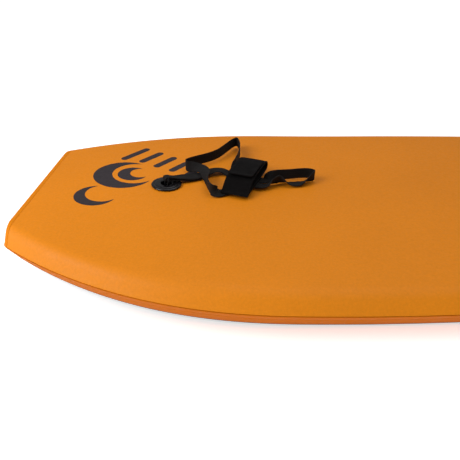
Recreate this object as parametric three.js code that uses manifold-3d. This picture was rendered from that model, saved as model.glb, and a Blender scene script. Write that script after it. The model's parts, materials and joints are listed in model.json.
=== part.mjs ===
// A foam bodyboard with a wrist leash, in millimetres, +Z up.
// The origin is under the middle of the board, on the surface that its flat bottom rests on.
// The nose points to -X. Stations along the board are counted from the nose tip.
import * as THREE from 'three';
import * as BufferGeometryUtils from 'three/addons/utils/BufferGeometryUtils.js';
import Module from 'manifold-3d';

const wasm = await Module();
wasm.setup();

// ---- driving dimensions: board outline ----
const LENGTH = 1067;
const MAX_HALF_WIDTH = 273;
const NOSE_HALF_WIDTH = 153.4;
const TAIL_HALF_WIDTH = 232.8;
const WIDEST_STATION = 393;
const NOSE_CURVE_POWER = 2.3;
const NOSE_CORNER_RADIUS = 7;
const TAIL_CORNER_RADIUS = 25;
const CRESCENT_DEPTH = 26;

// ---- driving dimensions: board section ----
const THICKNESS = 56;
const NOSE_ROCKER = 23.6;
const ROCKER_END = 553;
const CHINE_INSET = 20.4;
const CHINE_FOOT_INSET = 0.5;
const RAIL_TOP = 36.5;
const RAIL_SEAM = 25;
const BOTTOM_INSET = 26.2;
const DECK_EDGE_RADIUS = 30;
const DECK_EDGE_STEPS = 5;

// ---- driving dimensions: layers ----
const GAP = 0.3;
const SKIN = 3;
const SLICK = 2;
const RAIL_STRIP = 8.5;
const NOSE_STRIP = 8;
const TAIL_STRIP = 6;
const EDGE_ROUND = 3;
const CHANNEL_INNER = 96;
const CHANNEL_OUTER = 160;
const CHANNEL_WALL = 9;
const CHANNEL_ROOM = 200;
const CHANNEL_DEPTH = 8;
const CHANNEL_START = 740;
const CHANNEL_FULL = 900;
const STRINGER = { radius: 6, from: 242, to: 1008, height: 28 };

// ---- driving dimensions: leash plug, heights from the deck ----
const PLUG_STATION = 200;
const PLUG_SIDE = 9;
const PLUG_YAW = THREE.MathUtils.degToRad(30.8);
const FLANGE = { radius: 24.6, bottom: 1.3, top: 4.3, round: 2 };
const BARREL = { radius: 12, bottom: -36 };
const CUP = { radius: 9.2, floor: -15 };
const SOCKET = { radius: 7.3, top: -21 };
const SHANK = { radius: 7, top: -24 };
const BASE_FLANGE = { radius: 20, thickness: 2.5 };
const COIN_SLOT = { length: 24, width: 2.4, depth: 1.5 };
const PIN = { radius: 2, height: -5, length: 23.4 };
const GASKET = { thickness: 0.7, deckRadius: 22.5, baseRadius: 18.5 };

// ---- driving dimensions: leash ----
const STRING_RADIUS = 1.75;
const WEBBING = { width: 18, thickness: 1.8 };
const SAVER = { eyeWidth: 11, width: 22, thickness: 1.8, end: 62 };
const CUFF = { station: 329, side: 23, turn: THREE.MathUtils.degToRad(70), width: 45, wall: 2.6 };
const FLAP = { width: 42, thickness: 2, patchWidth: 38, patch: 0.8 };

// ---- materials ----
const finish = (color, roughness, metalness = 0) =>
	new THREE.MeshStandardMaterial({ color, roughness, metalness });
const MATERIALS = {
	deck: finish(0xe8912c, 0.62),
	rail: finish(0xc9771f, 0.65),
	foam: finish(0xf0ece2, 0.9),
	slick: finish(0x23262b, 0.3),
	rod: finish(0x2a2c2e, 0.45),
	plug: finish(0x111113, 0.22),
	steel: finish(0xb8bcc0, 0.3, 1),
	seal: finish(0x1b1b1c, 0.8),
	webbing: finish(0x161618, 0.85),
	patch: finish(0x1c1c1e, 0.95),
};

// ---- solids: booleans ----
function toManifold(geometry) {
	const bare = geometry.clone();
	bare.deleteAttribute('normal');
	bare.deleteAttribute('uv');
	const merged = BufferGeometryUtils.mergeVertices(bare, 1e-4);
	const vertProperties = Float32Array.from(merged.attributes.position.array);
	const corners = merged.index.array;
	const kept = [];
	for (let i = 0; i < corners.length; i += 3) {
		const [a, b, c] = corners.slice(i, i + 3);
		if (a !== b && b !== c && c !== a) kept.push(a, b, c);
	}
	const triVerts = Uint32Array.from(kept);
	return new wasm.Manifold(new wasm.Mesh({ numProp: 3, vertProperties, triVerts }));
}

function fromManifold(solid) {
	const { vertProperties, triVerts } = solid.getMesh();
	const geometry = new THREE.BufferGeometry();
	geometry.setAttribute('position', new THREE.BufferAttribute(vertProperties, 3));
	geometry.setIndex(new THREE.BufferAttribute(triVerts, 1));
	return geometry;
}

function cut(geometry, ...cutters) {
	return fromManifold(cutters.reduce((solid, cutter) => solid.subtract(toManifold(cutter)), toManifold(geometry)));
}

function common(geometry, other) {
	return fromManifold(toManifold(geometry).intersect(toManifold(other)));
}

// ---- solids: a skin over a row of loops, each counter-clockwise when seen from the last one ----
function skinLoops(loops, capTriangles) {
	const count = loops[0].length;
	const position = loops.flat().flatMap((point) => point.toArray());
	const index = [];
	for (let i = 0; i < loops.length - 1; i++) {
		for (let j = 0; j < count; j++) {
			const a = i * count + j;
			const b = i * count + ((j + 1) % count);
			index.push(a, b, a + count, b, b + count, a + count);
		}
	}
	const last = (loops.length - 1) * count;
	for (const [a, b, c] of capTriangles) {
		index.push(a, c, b, last + a, last + b, last + c);
	}
	const geometry = new THREE.BufferGeometry();
	geometry.setAttribute('position', new THREE.Float32BufferAttribute(position, 3));
	geometry.setIndex(index);
	return geometry;
}

// ---- the board's own shape ----
function halfWidth(station) {
	const nose = MAX_HALF_WIDTH - NOSE_HALF_WIDTH;
	const tail = MAX_HALF_WIDTH - TAIL_HALF_WIDTH;
	const ahead = Math.max(0, (WIDEST_STATION - station) / WIDEST_STATION);
	const behind = Math.max(0, (station - WIDEST_STATION) / (LENGTH - WIDEST_STATION));
	const corner = Math.max(0, NOSE_CORNER_RADIUS - station);
	const rounding = NOSE_CORNER_RADIUS - Math.sqrt(NOSE_CORNER_RADIUS ** 2 - corner ** 2);
	return MAX_HALF_WIDTH - nose * ahead ** NOSE_CURVE_POWER - tail * behind ** 2 - rounding;
}

const rocker = (station) => NOSE_ROCKER * (Math.max(0, ROCKER_END - station) / ROCKER_END) ** 2;

const rockerSlope = (station) => (-2 * NOSE_ROCKER * Math.max(0, ROCKER_END - station)) / ROCKER_END ** 2;

const channelDepth = (station) => CHANNEL_DEPTH * THREE.MathUtils.smoothstep(station, CHANNEL_START, CHANNEL_FULL);

// a point at a height over the deck
const overDeck = (station, side, height) =>
	new THREE.Vector3(station - LENGTH / 2, side, THICKNESS + rocker(station) + height);

// From the top of the rail over the chine to the middle of the deck, a depth under the surface.
function deckHalf(width, depth) {
	const run = CHINE_INSET - CHINE_FOOT_INSET;
	const rise = THICKNESS - RAIL_TOP;
	const length = Math.hypot(run, rise);
	const normalAngle = Math.atan2(run, rise);
	const tangent = DECK_EDGE_RADIUS * Math.tan((Math.PI / 2 - normalAngle) / 2);
	const centre = [width - CHINE_INSET - tangent, THICKNESS - DECK_EDGE_RADIUS];
	const footZ = RAIL_TOP + GAP;
	const footY = width - CHINE_FOOT_INSET - (GAP * run) / rise - (depth * length) / rise;
	const points = [[footY, footZ]];
	for (let k = 0; k <= DECK_EDGE_STEPS; k++) {
		const angle = THREE.MathUtils.lerp(normalAngle, Math.PI / 2, k / DECK_EDGE_STEPS);
		const radius = DECK_EDGE_RADIUS - depth;
		points.push([centre[0] + radius * Math.cos(angle), centre[1] + radius * Math.sin(angle)]);
	}
	return points;
}

// The board's underside, a height over it, from the middle out to a side. The channels' edges run on
// to the nose as lines in the flat, closer together where the board is narrow.
function bottomHalf(station, width, height) {
	const depth = channelDepth(station);
	const squeeze = Math.min(1, width / CHANNEL_ROOM);
	const slope = Math.min(height, 1);
	return [
		[squeeze * CHANNEL_INNER - slope, height],
		[squeeze * (CHANNEL_INNER + CHANNEL_WALL) - slope, height + depth],
		[squeeze * (CHANNEL_OUTER - CHANNEL_WALL) + slope, height + depth],
		[squeeze * CHANNEL_OUTER + slope, height],
		[width, height],
	];
}

const mirrored = (half) => half.map(([y, z]) => [-y, z]).reverse();

const undercutY = (width, z) => width - BOTTOM_INSET * (1 - z / RAIL_TOP);

// Lofts a section, a counter-clockwise list of [y, z], through the stations.
function loft(stations, section) {
	const sections = stations.map((station) => section(station, halfWidth(station)));
	const loops = sections.map((points, i) => {
		const lift = rocker(stations[i]);
		return points.map(([y, z]) => new THREE.Vector3(stations[i] - LENGTH / 2, y, z + lift));
	});
	const contour = sections.at(-1).map(([y, z]) => new THREE.Vector2(y, z));
	return skinLoops(loops, THREE.ShapeUtils.triangulateShape(contour, []));
}

const MID_STATIONS = [24, 45, 80, 120, 160, 200, 240, 290, 340, 393, 440, 505, 590, 680, 740, 780, 820, 860, 900,
	960, 1020, LENGTH];
const BODY_STATIONS = [NOSE_STRIP + GAP, ...MID_STATIONS];
const SLICK_STATIONS = [0.5, 2, 4, 7, 12, ...MID_STATIONS];

// ---- the tail's crescent, as a plan outline moved forward by an amount ----
function tailCutter(forward) {
	const edge = halfWidth(LENGTH - TAIL_CORNER_RADIUS);
	const tip = edge - TAIL_CORNER_RADIUS;
	const reach = MAX_HALF_WIDTH;
	const shoulder = LENGTH / 2 - TAIL_CORNER_RADIUS - forward;
	const outline = [new THREE.Vector2(shoulder, -reach)];
	const steps = 36;
	for (let k = 0; k <= steps; k++) {
		const side = THREE.MathUtils.lerp(-edge, edge, k / steps);
		const over = Math.max(0, Math.abs(side) - tip);
		const corner = TAIL_CORNER_RADIUS - Math.sqrt(Math.max(0, TAIL_CORNER_RADIUS ** 2 - over ** 2));
		const crescent = CRESCENT_DEPTH * Math.max(0, 1 - (side / tip) ** 2);
		outline.push(new THREE.Vector2(LENGTH / 2 - corner - crescent - forward, side));
	}
	outline.push(new THREE.Vector2(shoulder, reach));
	outline.push(new THREE.Vector2(LENGTH, reach));
	outline.push(new THREE.Vector2(LENGTH, -reach));
	const shape = new THREE.Shape(outline.reverse());
	const prism = new THREE.ExtrudeGeometry(shape, { depth: 3 * THICKNESS, bevelEnabled: false });
	return prism.translate(0, 0, -THICKNESS);
}

// ---- placing things that follow the leash plug's axis ----
const plugFrame = new THREE.Matrix4()
	.makeTranslation(overDeck(PLUG_STATION, PLUG_SIDE, 0))
	.multiply(new THREE.Matrix4().makeRotationY(Math.atan(-rockerSlope(PLUG_STATION))))
	.multiply(new THREE.Matrix4().makeRotationZ(PLUG_YAW));

const uprightCylinder = (radius, bottom, top, sides = 40) =>
	new THREE.CylinderGeometry(radius, radius, top - bottom, sides)
		.rotateX(Math.PI / 2)
		.translate(0, 0, (top + bottom) / 2);

const latheSides = 40;
const lathe = (profile) =>
	new THREE.LatheGeometry(profile.map(([r, z]) => new THREE.Vector2(r, z)), latheSides).rotateX(Math.PI / 2);

const plugBore = uprightCylinder(BARREL.radius + GAP, -2 * THICKNESS, THICKNESS).applyMatrix4(plugFrame);

// ---- board pieces ----
// The rod lies in a bore that is drilled in from the tail.
const rodAlong = (radius, from, to) =>
	new THREE.CylinderGeometry(radius, radius, to - from, 20)
		.rotateZ(Math.PI / 2)
		.translate((from + to - LENGTH) / 2, 0, STRINGER.height);

function foamCore() {
	const core = loft(BODY_STATIONS, (station, width) => {
		const top = deckHalf(width, SKIN + GAP).slice(1);
		const side = width - RAIL_STRIP - GAP;
		const foot = undercutY(side, SLICK + GAP);
		const half = [[foot, SLICK / 2], [foot, SLICK + GAP], [side, RAIL_TOP], ...top];
		return [...half, ...mirrored(half)];
	});
	const rodBore = rodAlong(STRINGER.radius + GAP, STRINGER.from - GAP, LENGTH);
	return cut(core, tailCutter(TAIL_STRIP + GAP), slickSlab(THICKNESS / 2, SLICK + GAP), plugBore, rodBore);
}

function deckSkin() {
	const skin = loft(BODY_STATIONS, (station, width) => {
		const outer = deckHalf(width, 0);
		const inner = deckHalf(width, SKIN);
		return [...outer, ...mirrored(outer), ...mirrored([...inner].reverse()), ...[...inner].reverse()];
	});
	return cut(skin, tailCutter(TAIL_STRIP + GAP), plugBore);
}

// The layer under the board, channels and all, from a depth under its underside to a height over it.
function slickSlab(depth, height) {
	return loft(SLICK_STATIONS, (station, width) => {
		const lower = bottomHalf(station, undercutY(width, 0), 0).map(([y, z]) => [y, z - depth]);
		const upper = bottomHalf(station, undercutY(width, height), height);
		return [...mirrored(lower), ...lower, ...[...upper].reverse(), ...mirrored(upper).reverse()];
	});
}

const bottomSlick = () => cut(slickSlab(0, SLICK), tailCutter(0), plugBore);

function railStrip(side, section) {
	const strip = loft(BODY_STATIONS, (station, width) => {
		const points = section(width);
		return side > 0 ? points : mirrored(points);
	});
	return cut(strip, tailCutter(TAIL_STRIP + GAP));
}

const undercutBand = (width, foot, head) => [
	[undercutY(width, foot) - RAIL_STRIP, foot],
	[undercutY(width, foot), foot],
	[undercutY(width, head), head],
	[undercutY(width, head) - RAIL_STRIP, head],
];

const railSection = (width) => undercutBand(width, RAIL_SEAM + GAP / 2, RAIL_TOP);

const lowerRailSection = (width) => undercutBand(width, SLICK + GAP, RAIL_SEAM - GAP / 2);

// The whole outline above the slick, which the end strips are parts of.
function endSection(width, shrink) {
	const foot = SLICK + GAP + shrink;
	const half = [
		[undercutY(width, foot), foot],
		[width, RAIL_TOP],
		...deckHalf(width, shrink).slice(1),
	];
	return [...half, ...mirrored(half)];
}

function noseStrip() {
	const stations = [0, 0.8, 1.8, 3, 4.7, 7, NOSE_STRIP];
	return loft(stations, (station, width) => {
		const edge = Math.max(0, EDGE_ROUND - station);
		return endSection(width, EDGE_ROUND - Math.sqrt(EDGE_ROUND ** 2 - edge ** 2));
	});
}

function tailStrip(side) {
	const end = loft([960, 1000, 1030, 1050, LENGTH], (station, width) => endSection(width, 0));
	const half = new THREE.BoxGeometry(LENGTH, LENGTH, LENGTH).translate(0, side * (LENGTH / 2 + GAP / 2), 0);
	const band = cut(common(end, tailCutter(TAIL_STRIP)), tailCutter(0), slickSlab(THICKNESS / 2, SLICK + GAP));
	return common(band, half);
}

function stringer() {
	return rodAlong(STRINGER.radius, STRINGER.from, STRINGER.to);
}

// ---- leash plug pieces, in the plug's frame ----
function plugDeckHalf() {
	const { radius, bottom, top, round } = FLANGE;
	const profile = [
		[0, SOCKET.top],
		[SOCKET.radius, SOCKET.top],
		[SOCKET.radius, BARREL.bottom],
		[BARREL.radius, BARREL.bottom],
		[BARREL.radius, bottom],
		[radius - 0.4, bottom],
		[radius, bottom + 0.8],
		[radius - 0.3 * round, top - 0.45 * round],
		[radius - round, top - 0.1 * round],
		[radius - 1.9 * round, top],
		[CUP.radius + 1, top],
		[CUP.radius + 0.3, top - 0.3],
		[CUP.radius, top - 1],
		[CUP.radius, CUP.floor],
		[0, CUP.floor],
	];
	const bore = new THREE.CylinderGeometry(PIN.radius + GAP, PIN.radius + GAP, 3 * BARREL.radius, 20)
		.rotateZ(Math.PI / 2)
		.translate(0, 0, PIN.height);
	return cut(lathe(profile), bore).applyMatrix4(plugFrame);
}

function plugBaseHalf() {
	const top = -THICKNESS - 2 * GAP - GASKET.thickness;
	const bottom = top - BASE_FLANGE.thickness;
	const profile = [
		[0, bottom],
		[BASE_FLANGE.radius - 1, bottom],
		[BASE_FLANGE.radius, bottom + 1],
		[BASE_FLANGE.radius, top],
		[SHANK.radius, top],
		[SHANK.radius, SHANK.top],
		[0, SHANK.top],
	];
	const slot = new THREE.BoxGeometry(COIN_SLOT.length, COIN_SLOT.width, 2 * COIN_SLOT.depth)
		.translate(0, 0, bottom);
	return cut(lathe(profile), slot).applyMatrix4(plugFrame);
}

function plugCrossPin() {
	return new THREE.CylinderGeometry(PIN.radius, PIN.radius, PIN.length, 20)
		.rotateZ(Math.PI / 2)
		.translate(0, 0, PIN.height)
		.applyMatrix4(plugFrame);
}

function gasket(outer, inner, bottom) {
	const top = bottom + GASKET.thickness;
	return lathe([[inner, bottom], [outer, bottom], [outer, top], [inner, top], [inner, bottom]])
		.applyMatrix4(plugFrame);
}

// ---- leash pieces ----
// The string's loop stands across the pin, with its bow above the plug.
function leashString() {
	const half = [[0, -5.7], [5.7, 0], [5.6, 6], [7.6, 12], [9.8, 15.4], [8.4, 17], [4.2, 17]];
	const across = [...half, [0, 17], ...half.slice(1).map(([v, z]) => [-v, z]).reverse()];
	const points = across.map(([v, z]) => new THREE.Vector3(0, v, z + PIN.height));
	const path = new THREE.CatmullRomCurve3(points, true, 'centripetal');
	return new THREE.TubeGeometry(path, 44, STRING_RADIUS, 8, true).applyMatrix4(plugFrame);
}

// A flat strap through points, with a width direction for each and a width at each.
function ribbon(points, sides, widths, thickness) {
	const loops = points.map((point, i) => {
		const ahead = points[Math.min(i + 1, points.length - 1)];
		const behind = points[Math.max(i - 1, 0)];
		const tangent = ahead.clone().sub(behind).normalize();
		const side = sides[i].clone().addScaledVector(tangent, -sides[i].dot(tangent)).normalize();
		const normal = tangent.clone().cross(side);
		const corner = (a, b) =>
			point.clone().addScaledVector(side, (a * widths[i]) / 2).addScaledVector(normal, (b * thickness) / 2);
		return [corner(-1, -1), corner(1, -1), corner(1, 1), corner(-1, 1)];
	});
	return skinLoops(loops, [[0, 1, 2], [0, 2, 3]]);
}

// Out from the sewn end under the bow, round it and back on top: [along, height].
function railSaver() {
	const route = [[SAVER.end, 2.7], [50, 2.7], [41, 3.1], [33, 5], [26, 6.4], [17, 7.2], [8, 8.1], [0, 8.7],
		[-2.4, 9.8], [-3.3, 12], [-2.4, 14.2], [0, 15.3], [4.6, 14.7], [10, 12.6], [17, 10.6], [26, 9], [34, 7.4],
		[42, 5.4], [51, 4.9], [SAVER.end, 4.9]];
	const curve = new THREE.CatmullRomCurve3(route.map(([u, z]) => new THREE.Vector3(u, 0, z)), false, 'centripetal');
	const points = curve.getSpacedPoints(56);
	const widths = points.map(({ x }) =>
		THREE.MathUtils.lerp(SAVER.eyeWidth, SAVER.width, THREE.MathUtils.smoothstep(x, 8, 40)));
	const sides = points.map(() => new THREE.Vector3(0, 1, 0));
	return ribbon(points, sides, widths, SAVER.thickness).applyMatrix4(plugFrame);
}

// The webbing's route: [station, side, height over the deck, lean of its width from flat in degrees].
const WEBBING_ROUTE = [
	[254, 41.2, 3.8, 0], [265, 48, 6, 0], [277, 55, 7.8, 0], [289, 57.5, 6.6, 0], [301, 53.5, 2.9, 0],
	[316, 43, 2.8, 0], [334, 36, 2.8, 0], [350, 30, 2.8, 0], [361, 28.5, 3.4, 5], [369, 30, 8.6, 50],
	[378, 32.5, 11.2, 84], [390, 35.5, 11.2, 90], [406, 38, 11.2, 90], [423, 41.5, 11.2, 90], [437, 41, 11.2, 90], [444.5, 35.5, 11.2, 90],
	[441, 28.5, 11, 85], [431, 23, 8, 50], [418, 18, 3.6, 5], [405, 16, 3.6, 5], [394, 17.5, 6.5, 35],
	[383, 17.5, 10.5, 72], [371, 12, 9, 52], [360, 5, 5.2, 8], [348, 5.5, 5.1, 0], [333, 18, 5.1, 0],
	[320, 36, 5.2, 0], [314, 49, 5.6, 4], [312, 62, 8.9, 45], [313.5, 78, 12.3, 86], [318.5, 104, 12.6, 90], [321.5, 136, 12.8, 90],
	[320.5, 162, 13, 90], [315.5, 176.5, 13, 90], [309, 170, 13, 90], [297, 147, 12.8, 90], [281, 117, 12.6, 90],
	[265, 100, 12.3, 90], [249, 88.5, 12, 90], [235, 77.5, 12, 90], [227.5, 68, 12, 90], [230, 59.5, 12, 85],
	[240, 56, 12.5, 55], [251, 52, 13.2, 22], [260, 40.5, 13.6, 22], [264.5, 25, 13, 45], [266.5, 8, 11.8, 80],
	[270, -11, 11.6, 90], [275.5, -24, 11.4, 86], [283, -24.5, 8, 50], [291, -19, 3.8, 8], [301, -14, 3, 0],
	[312, -10, 3, 0],
];

function leashWebbing() {
	const places = WEBBING_ROUTE.map(([station, side, height]) => overDeck(station, side, height));
	const curve = new THREE.CatmullRomCurve3(places, false, 'centripetal');
	const perSpan = 3;
	const spans = places.length - 1;
	const points = curve.getPoints(spans * perSpan);
	const sides = points.map((point, i) => {
		const span = Math.min(Math.floor(i / perSpan), spans - 1);
		const along = i / perSpan - span;
		const lean = THREE.MathUtils.lerp(WEBBING_ROUTE[span][3], WEBBING_ROUTE[span + 1][3], along);
		const tangent = curve.getTangent(i / (spans * perSpan));
		const flat = new THREE.Vector3(-tangent.y, tangent.x, 0).normalize();
		const up = new THREE.Vector3(0, 0, 1);
		const angle = THREE.MathUtils.degToRad(lean);
		return flat.multiplyScalar(Math.cos(angle)).addScaledVector(up, Math.sin(angle));
	});
	const widths = points.map(() => WEBBING.width);
	return ribbon(points, sides, widths, WEBBING.thickness);
}

// Moves a solid made in the cuff's own axes, u along it, v through it and h over the deck, to its place.
function placeCuff(geometry) {
	const position = geometry.attributes.position;
	for (let i = 0; i < position.count; i++) {
		const u = position.getX(i);
		const v = -position.getY(i);
		const station = CUFF.station + u * Math.cos(CUFF.turn) + v * Math.sin(CUFF.turn);
		const side = CUFF.side + u * Math.sin(CUFF.turn) - v * Math.cos(CUFF.turn);
		position.setXYZ(i, ...overDeck(station, side, position.getZ(i)).toArray());
	}
	return geometry;
}

// Extrudes a profile in [u, h] through the cuff's width.
function acrossCuff(profile, width, curveSegments = 8) {
	const geometry = new THREE.ExtrudeGeometry(profile, { depth: width, bevelEnabled: false, curveSegments });
	geometry.rotateX(Math.PI / 2).translate(0, width / 2, 0);
	return placeCuff(geometry);
}

// The band lies pressed flat, pinched at the near fold and round at the far one.
const CUFF_LOOP = [[-57, 6.4], [-48, 6.2], [-34, 7.2], [-10, 8], [20, 8], [42, 8], [52, 9.5], [56.5, 15], [53, 21.5],
	[42, 24.4], [20, 25], [-8, 24.4], [-28, 22.4], [-42, 15], [-50, 9.4]];

function cuffBand() {
	const outer = new THREE.CatmullRomCurve3(CUFF_LOOP.map(([u, h]) => new THREE.Vector3(u, h, 0)), true);
	const steps = 60;
	const rim = outer.getSpacedPoints(steps).slice(0, steps).map(({ x, y }) => new THREE.Vector2(x, y));
	const inside = rim.map((point, i) => {
		const along = rim[(i + 1) % steps].clone().sub(rim[(i + steps - 1) % steps]).normalize();
		return new THREE.Vector2(point.x - along.y * CUFF.wall, point.y + along.x * CUFF.wall);
	});
	const shape = new THREE.Shape(rim);
	shape.holes.push(new THREE.Path(inside.filter(({ x }) => x > CUFF_INSIDE_START)));
	return acrossCuff(shape, CUFF.width);
}
const CUFF_INSIDE_START = -47;

// A strip that follows the band's top from one place along it to another.
const bandTop = (u) => 25 - 0.00042 * (u - 18) ** 2;

function topStrip(from, to, lift, thickness) {
	const steps = 12;
	const lower = [];
	for (let k = 0; k <= steps; k++) {
		const u = THREE.MathUtils.lerp(from, to, k / steps);
		lower.push(new THREE.Vector2(u, bandTop(u) + lift));
	}
	const upper = lower.map(({ x, y }) => new THREE.Vector2(x, y + thickness)).reverse();
	return new THREE.Shape([...lower, ...upper]);
}

const PATCH_LIFT = 0.5;
const loopPatch = () => acrossCuff(topStrip(-24, 24, PATCH_LIFT, FLAP.patch), FLAP.patchWidth);
const hookPatch = () =>
	acrossCuff(topStrip(-23, 8, PATCH_LIFT + FLAP.patch + GAP, FLAP.patch), FLAP.patchWidth - 2);
const cuffFlap = () =>
	acrossCuff(topStrip(-29, 38, PATCH_LIFT + 2 * (FLAP.patch + GAP), FLAP.thickness), FLAP.width);

// ---- the assembly ----
const group = new THREE.Group();

function add(name, geometry, material) {
	const mesh = new THREE.Mesh(geometry, material);
	mesh.name = name;
	group.add(mesh);
}

add('foam_core', foamCore(), MATERIALS.foam);
add('deck_skin', deckSkin(), MATERIALS.deck);
add('bottom_slick', bottomSlick(), MATERIALS.slick);
add('nose_strip', noseStrip(), MATERIALS.rail);
for (const [name, side] of [['left', 1], ['right', -1]]) {
	add(`rail_${name}`, railStrip(side, railSection), MATERIALS.rail);
	add(`lower_rail_${name}`, railStrip(side, lowerRailSection), MATERIALS.rail);
	add(`tail_strip_${name}`, tailStrip(side), MATERIALS.rail);
}
add('stringer', stringer(), MATERIALS.rod);
add('plug_deck_half', plugDeckHalf(), MATERIALS.plug);
add('plug_base_half', plugBaseHalf(), MATERIALS.plug);
add('plug_cross_pin', plugCrossPin(), MATERIALS.steel);
add('plug_deck_gasket', gasket(GASKET.deckRadius, BARREL.radius + GAP, GAP), MATERIALS.seal);
add('plug_base_gasket', gasket(GASKET.baseRadius, BARREL.radius + GAP, -THICKNESS - GAP - GASKET.thickness),
	MATERIALS.seal);
add('leash_string', leashString(), MATERIALS.webbing);
add('rail_saver', railSaver(), MATERIALS.webbing);
add('leash_webbing', leashWebbing(), MATERIALS.webbing);
add('cuff_band', cuffBand(), MATERIALS.webbing);
add('loop_patch', loopPatch(), MATERIALS.patch);
add('hook_patch', hookPatch(), MATERIALS.patch);
add('cuff_flap', cuffFlap(), MATERIALS.webbing);

export default group;
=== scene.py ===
"""A foam bodyboard with a wrist leash lying on its deck, on a pale floor in soft studio light."""

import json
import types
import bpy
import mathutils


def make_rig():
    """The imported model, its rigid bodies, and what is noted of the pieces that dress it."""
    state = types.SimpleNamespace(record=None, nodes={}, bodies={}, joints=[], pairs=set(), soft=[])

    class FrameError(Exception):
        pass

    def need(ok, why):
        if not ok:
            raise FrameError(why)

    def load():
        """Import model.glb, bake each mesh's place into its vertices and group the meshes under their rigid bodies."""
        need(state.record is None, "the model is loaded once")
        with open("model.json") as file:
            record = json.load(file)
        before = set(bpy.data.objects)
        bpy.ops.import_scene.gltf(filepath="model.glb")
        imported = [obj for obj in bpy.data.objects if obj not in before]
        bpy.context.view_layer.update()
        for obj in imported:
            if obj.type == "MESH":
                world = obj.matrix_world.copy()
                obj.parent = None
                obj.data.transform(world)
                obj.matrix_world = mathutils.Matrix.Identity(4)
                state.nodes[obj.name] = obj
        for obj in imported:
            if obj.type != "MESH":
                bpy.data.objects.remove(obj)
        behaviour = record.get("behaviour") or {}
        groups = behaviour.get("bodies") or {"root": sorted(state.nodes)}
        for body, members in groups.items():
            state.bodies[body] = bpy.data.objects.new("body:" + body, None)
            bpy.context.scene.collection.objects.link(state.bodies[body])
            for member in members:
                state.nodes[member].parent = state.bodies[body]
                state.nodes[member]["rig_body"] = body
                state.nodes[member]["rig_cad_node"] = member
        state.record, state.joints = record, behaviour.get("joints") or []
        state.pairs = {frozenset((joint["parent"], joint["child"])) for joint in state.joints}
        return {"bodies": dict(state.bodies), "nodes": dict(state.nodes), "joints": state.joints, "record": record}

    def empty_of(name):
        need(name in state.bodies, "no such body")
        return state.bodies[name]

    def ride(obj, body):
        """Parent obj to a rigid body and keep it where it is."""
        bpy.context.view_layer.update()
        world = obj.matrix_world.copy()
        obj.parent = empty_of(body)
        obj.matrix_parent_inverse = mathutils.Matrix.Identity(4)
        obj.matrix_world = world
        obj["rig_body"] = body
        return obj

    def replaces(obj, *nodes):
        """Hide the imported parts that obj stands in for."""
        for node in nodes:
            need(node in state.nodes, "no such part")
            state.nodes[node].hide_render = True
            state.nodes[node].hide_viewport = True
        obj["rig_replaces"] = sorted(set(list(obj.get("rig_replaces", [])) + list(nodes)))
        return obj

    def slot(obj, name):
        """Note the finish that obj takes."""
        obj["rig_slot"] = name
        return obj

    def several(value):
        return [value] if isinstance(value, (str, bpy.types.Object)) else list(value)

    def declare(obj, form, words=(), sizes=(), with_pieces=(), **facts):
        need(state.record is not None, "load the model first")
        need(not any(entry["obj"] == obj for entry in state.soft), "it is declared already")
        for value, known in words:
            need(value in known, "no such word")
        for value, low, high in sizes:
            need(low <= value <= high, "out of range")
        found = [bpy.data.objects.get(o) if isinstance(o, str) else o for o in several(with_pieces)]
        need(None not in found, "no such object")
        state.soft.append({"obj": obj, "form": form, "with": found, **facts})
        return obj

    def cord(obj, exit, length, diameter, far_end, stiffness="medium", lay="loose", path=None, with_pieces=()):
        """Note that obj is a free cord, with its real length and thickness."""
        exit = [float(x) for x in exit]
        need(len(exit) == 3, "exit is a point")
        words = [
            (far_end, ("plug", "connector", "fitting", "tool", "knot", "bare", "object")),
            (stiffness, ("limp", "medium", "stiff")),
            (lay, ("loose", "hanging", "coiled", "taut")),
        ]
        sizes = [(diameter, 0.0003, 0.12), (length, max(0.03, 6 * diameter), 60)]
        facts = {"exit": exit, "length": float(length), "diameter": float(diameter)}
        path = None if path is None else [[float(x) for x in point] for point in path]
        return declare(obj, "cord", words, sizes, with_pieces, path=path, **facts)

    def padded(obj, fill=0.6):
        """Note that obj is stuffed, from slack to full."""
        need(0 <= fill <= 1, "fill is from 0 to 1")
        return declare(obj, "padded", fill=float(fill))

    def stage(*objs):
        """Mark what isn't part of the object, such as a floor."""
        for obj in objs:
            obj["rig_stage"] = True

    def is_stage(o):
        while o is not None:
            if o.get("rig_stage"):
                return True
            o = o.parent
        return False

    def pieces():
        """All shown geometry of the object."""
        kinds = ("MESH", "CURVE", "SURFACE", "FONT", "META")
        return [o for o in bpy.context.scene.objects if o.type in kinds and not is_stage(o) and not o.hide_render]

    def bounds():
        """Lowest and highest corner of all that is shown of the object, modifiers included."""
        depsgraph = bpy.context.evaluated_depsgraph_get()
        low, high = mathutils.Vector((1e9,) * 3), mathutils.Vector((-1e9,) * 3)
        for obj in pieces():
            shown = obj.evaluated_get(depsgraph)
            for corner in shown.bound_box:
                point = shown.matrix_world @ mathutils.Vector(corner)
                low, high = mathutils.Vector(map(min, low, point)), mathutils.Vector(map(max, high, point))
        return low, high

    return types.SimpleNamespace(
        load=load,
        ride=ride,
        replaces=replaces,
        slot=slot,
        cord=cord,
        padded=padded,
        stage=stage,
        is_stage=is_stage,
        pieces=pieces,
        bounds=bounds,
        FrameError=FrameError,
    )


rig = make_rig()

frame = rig.load()
cad_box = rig.bounds()

import json
import math
from contextlib import contextmanager

import bmesh
import bpy
from mathutils import Matrix, Vector
from mathutils.geometry import tessellate_polygon

MM = 0.001

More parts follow.
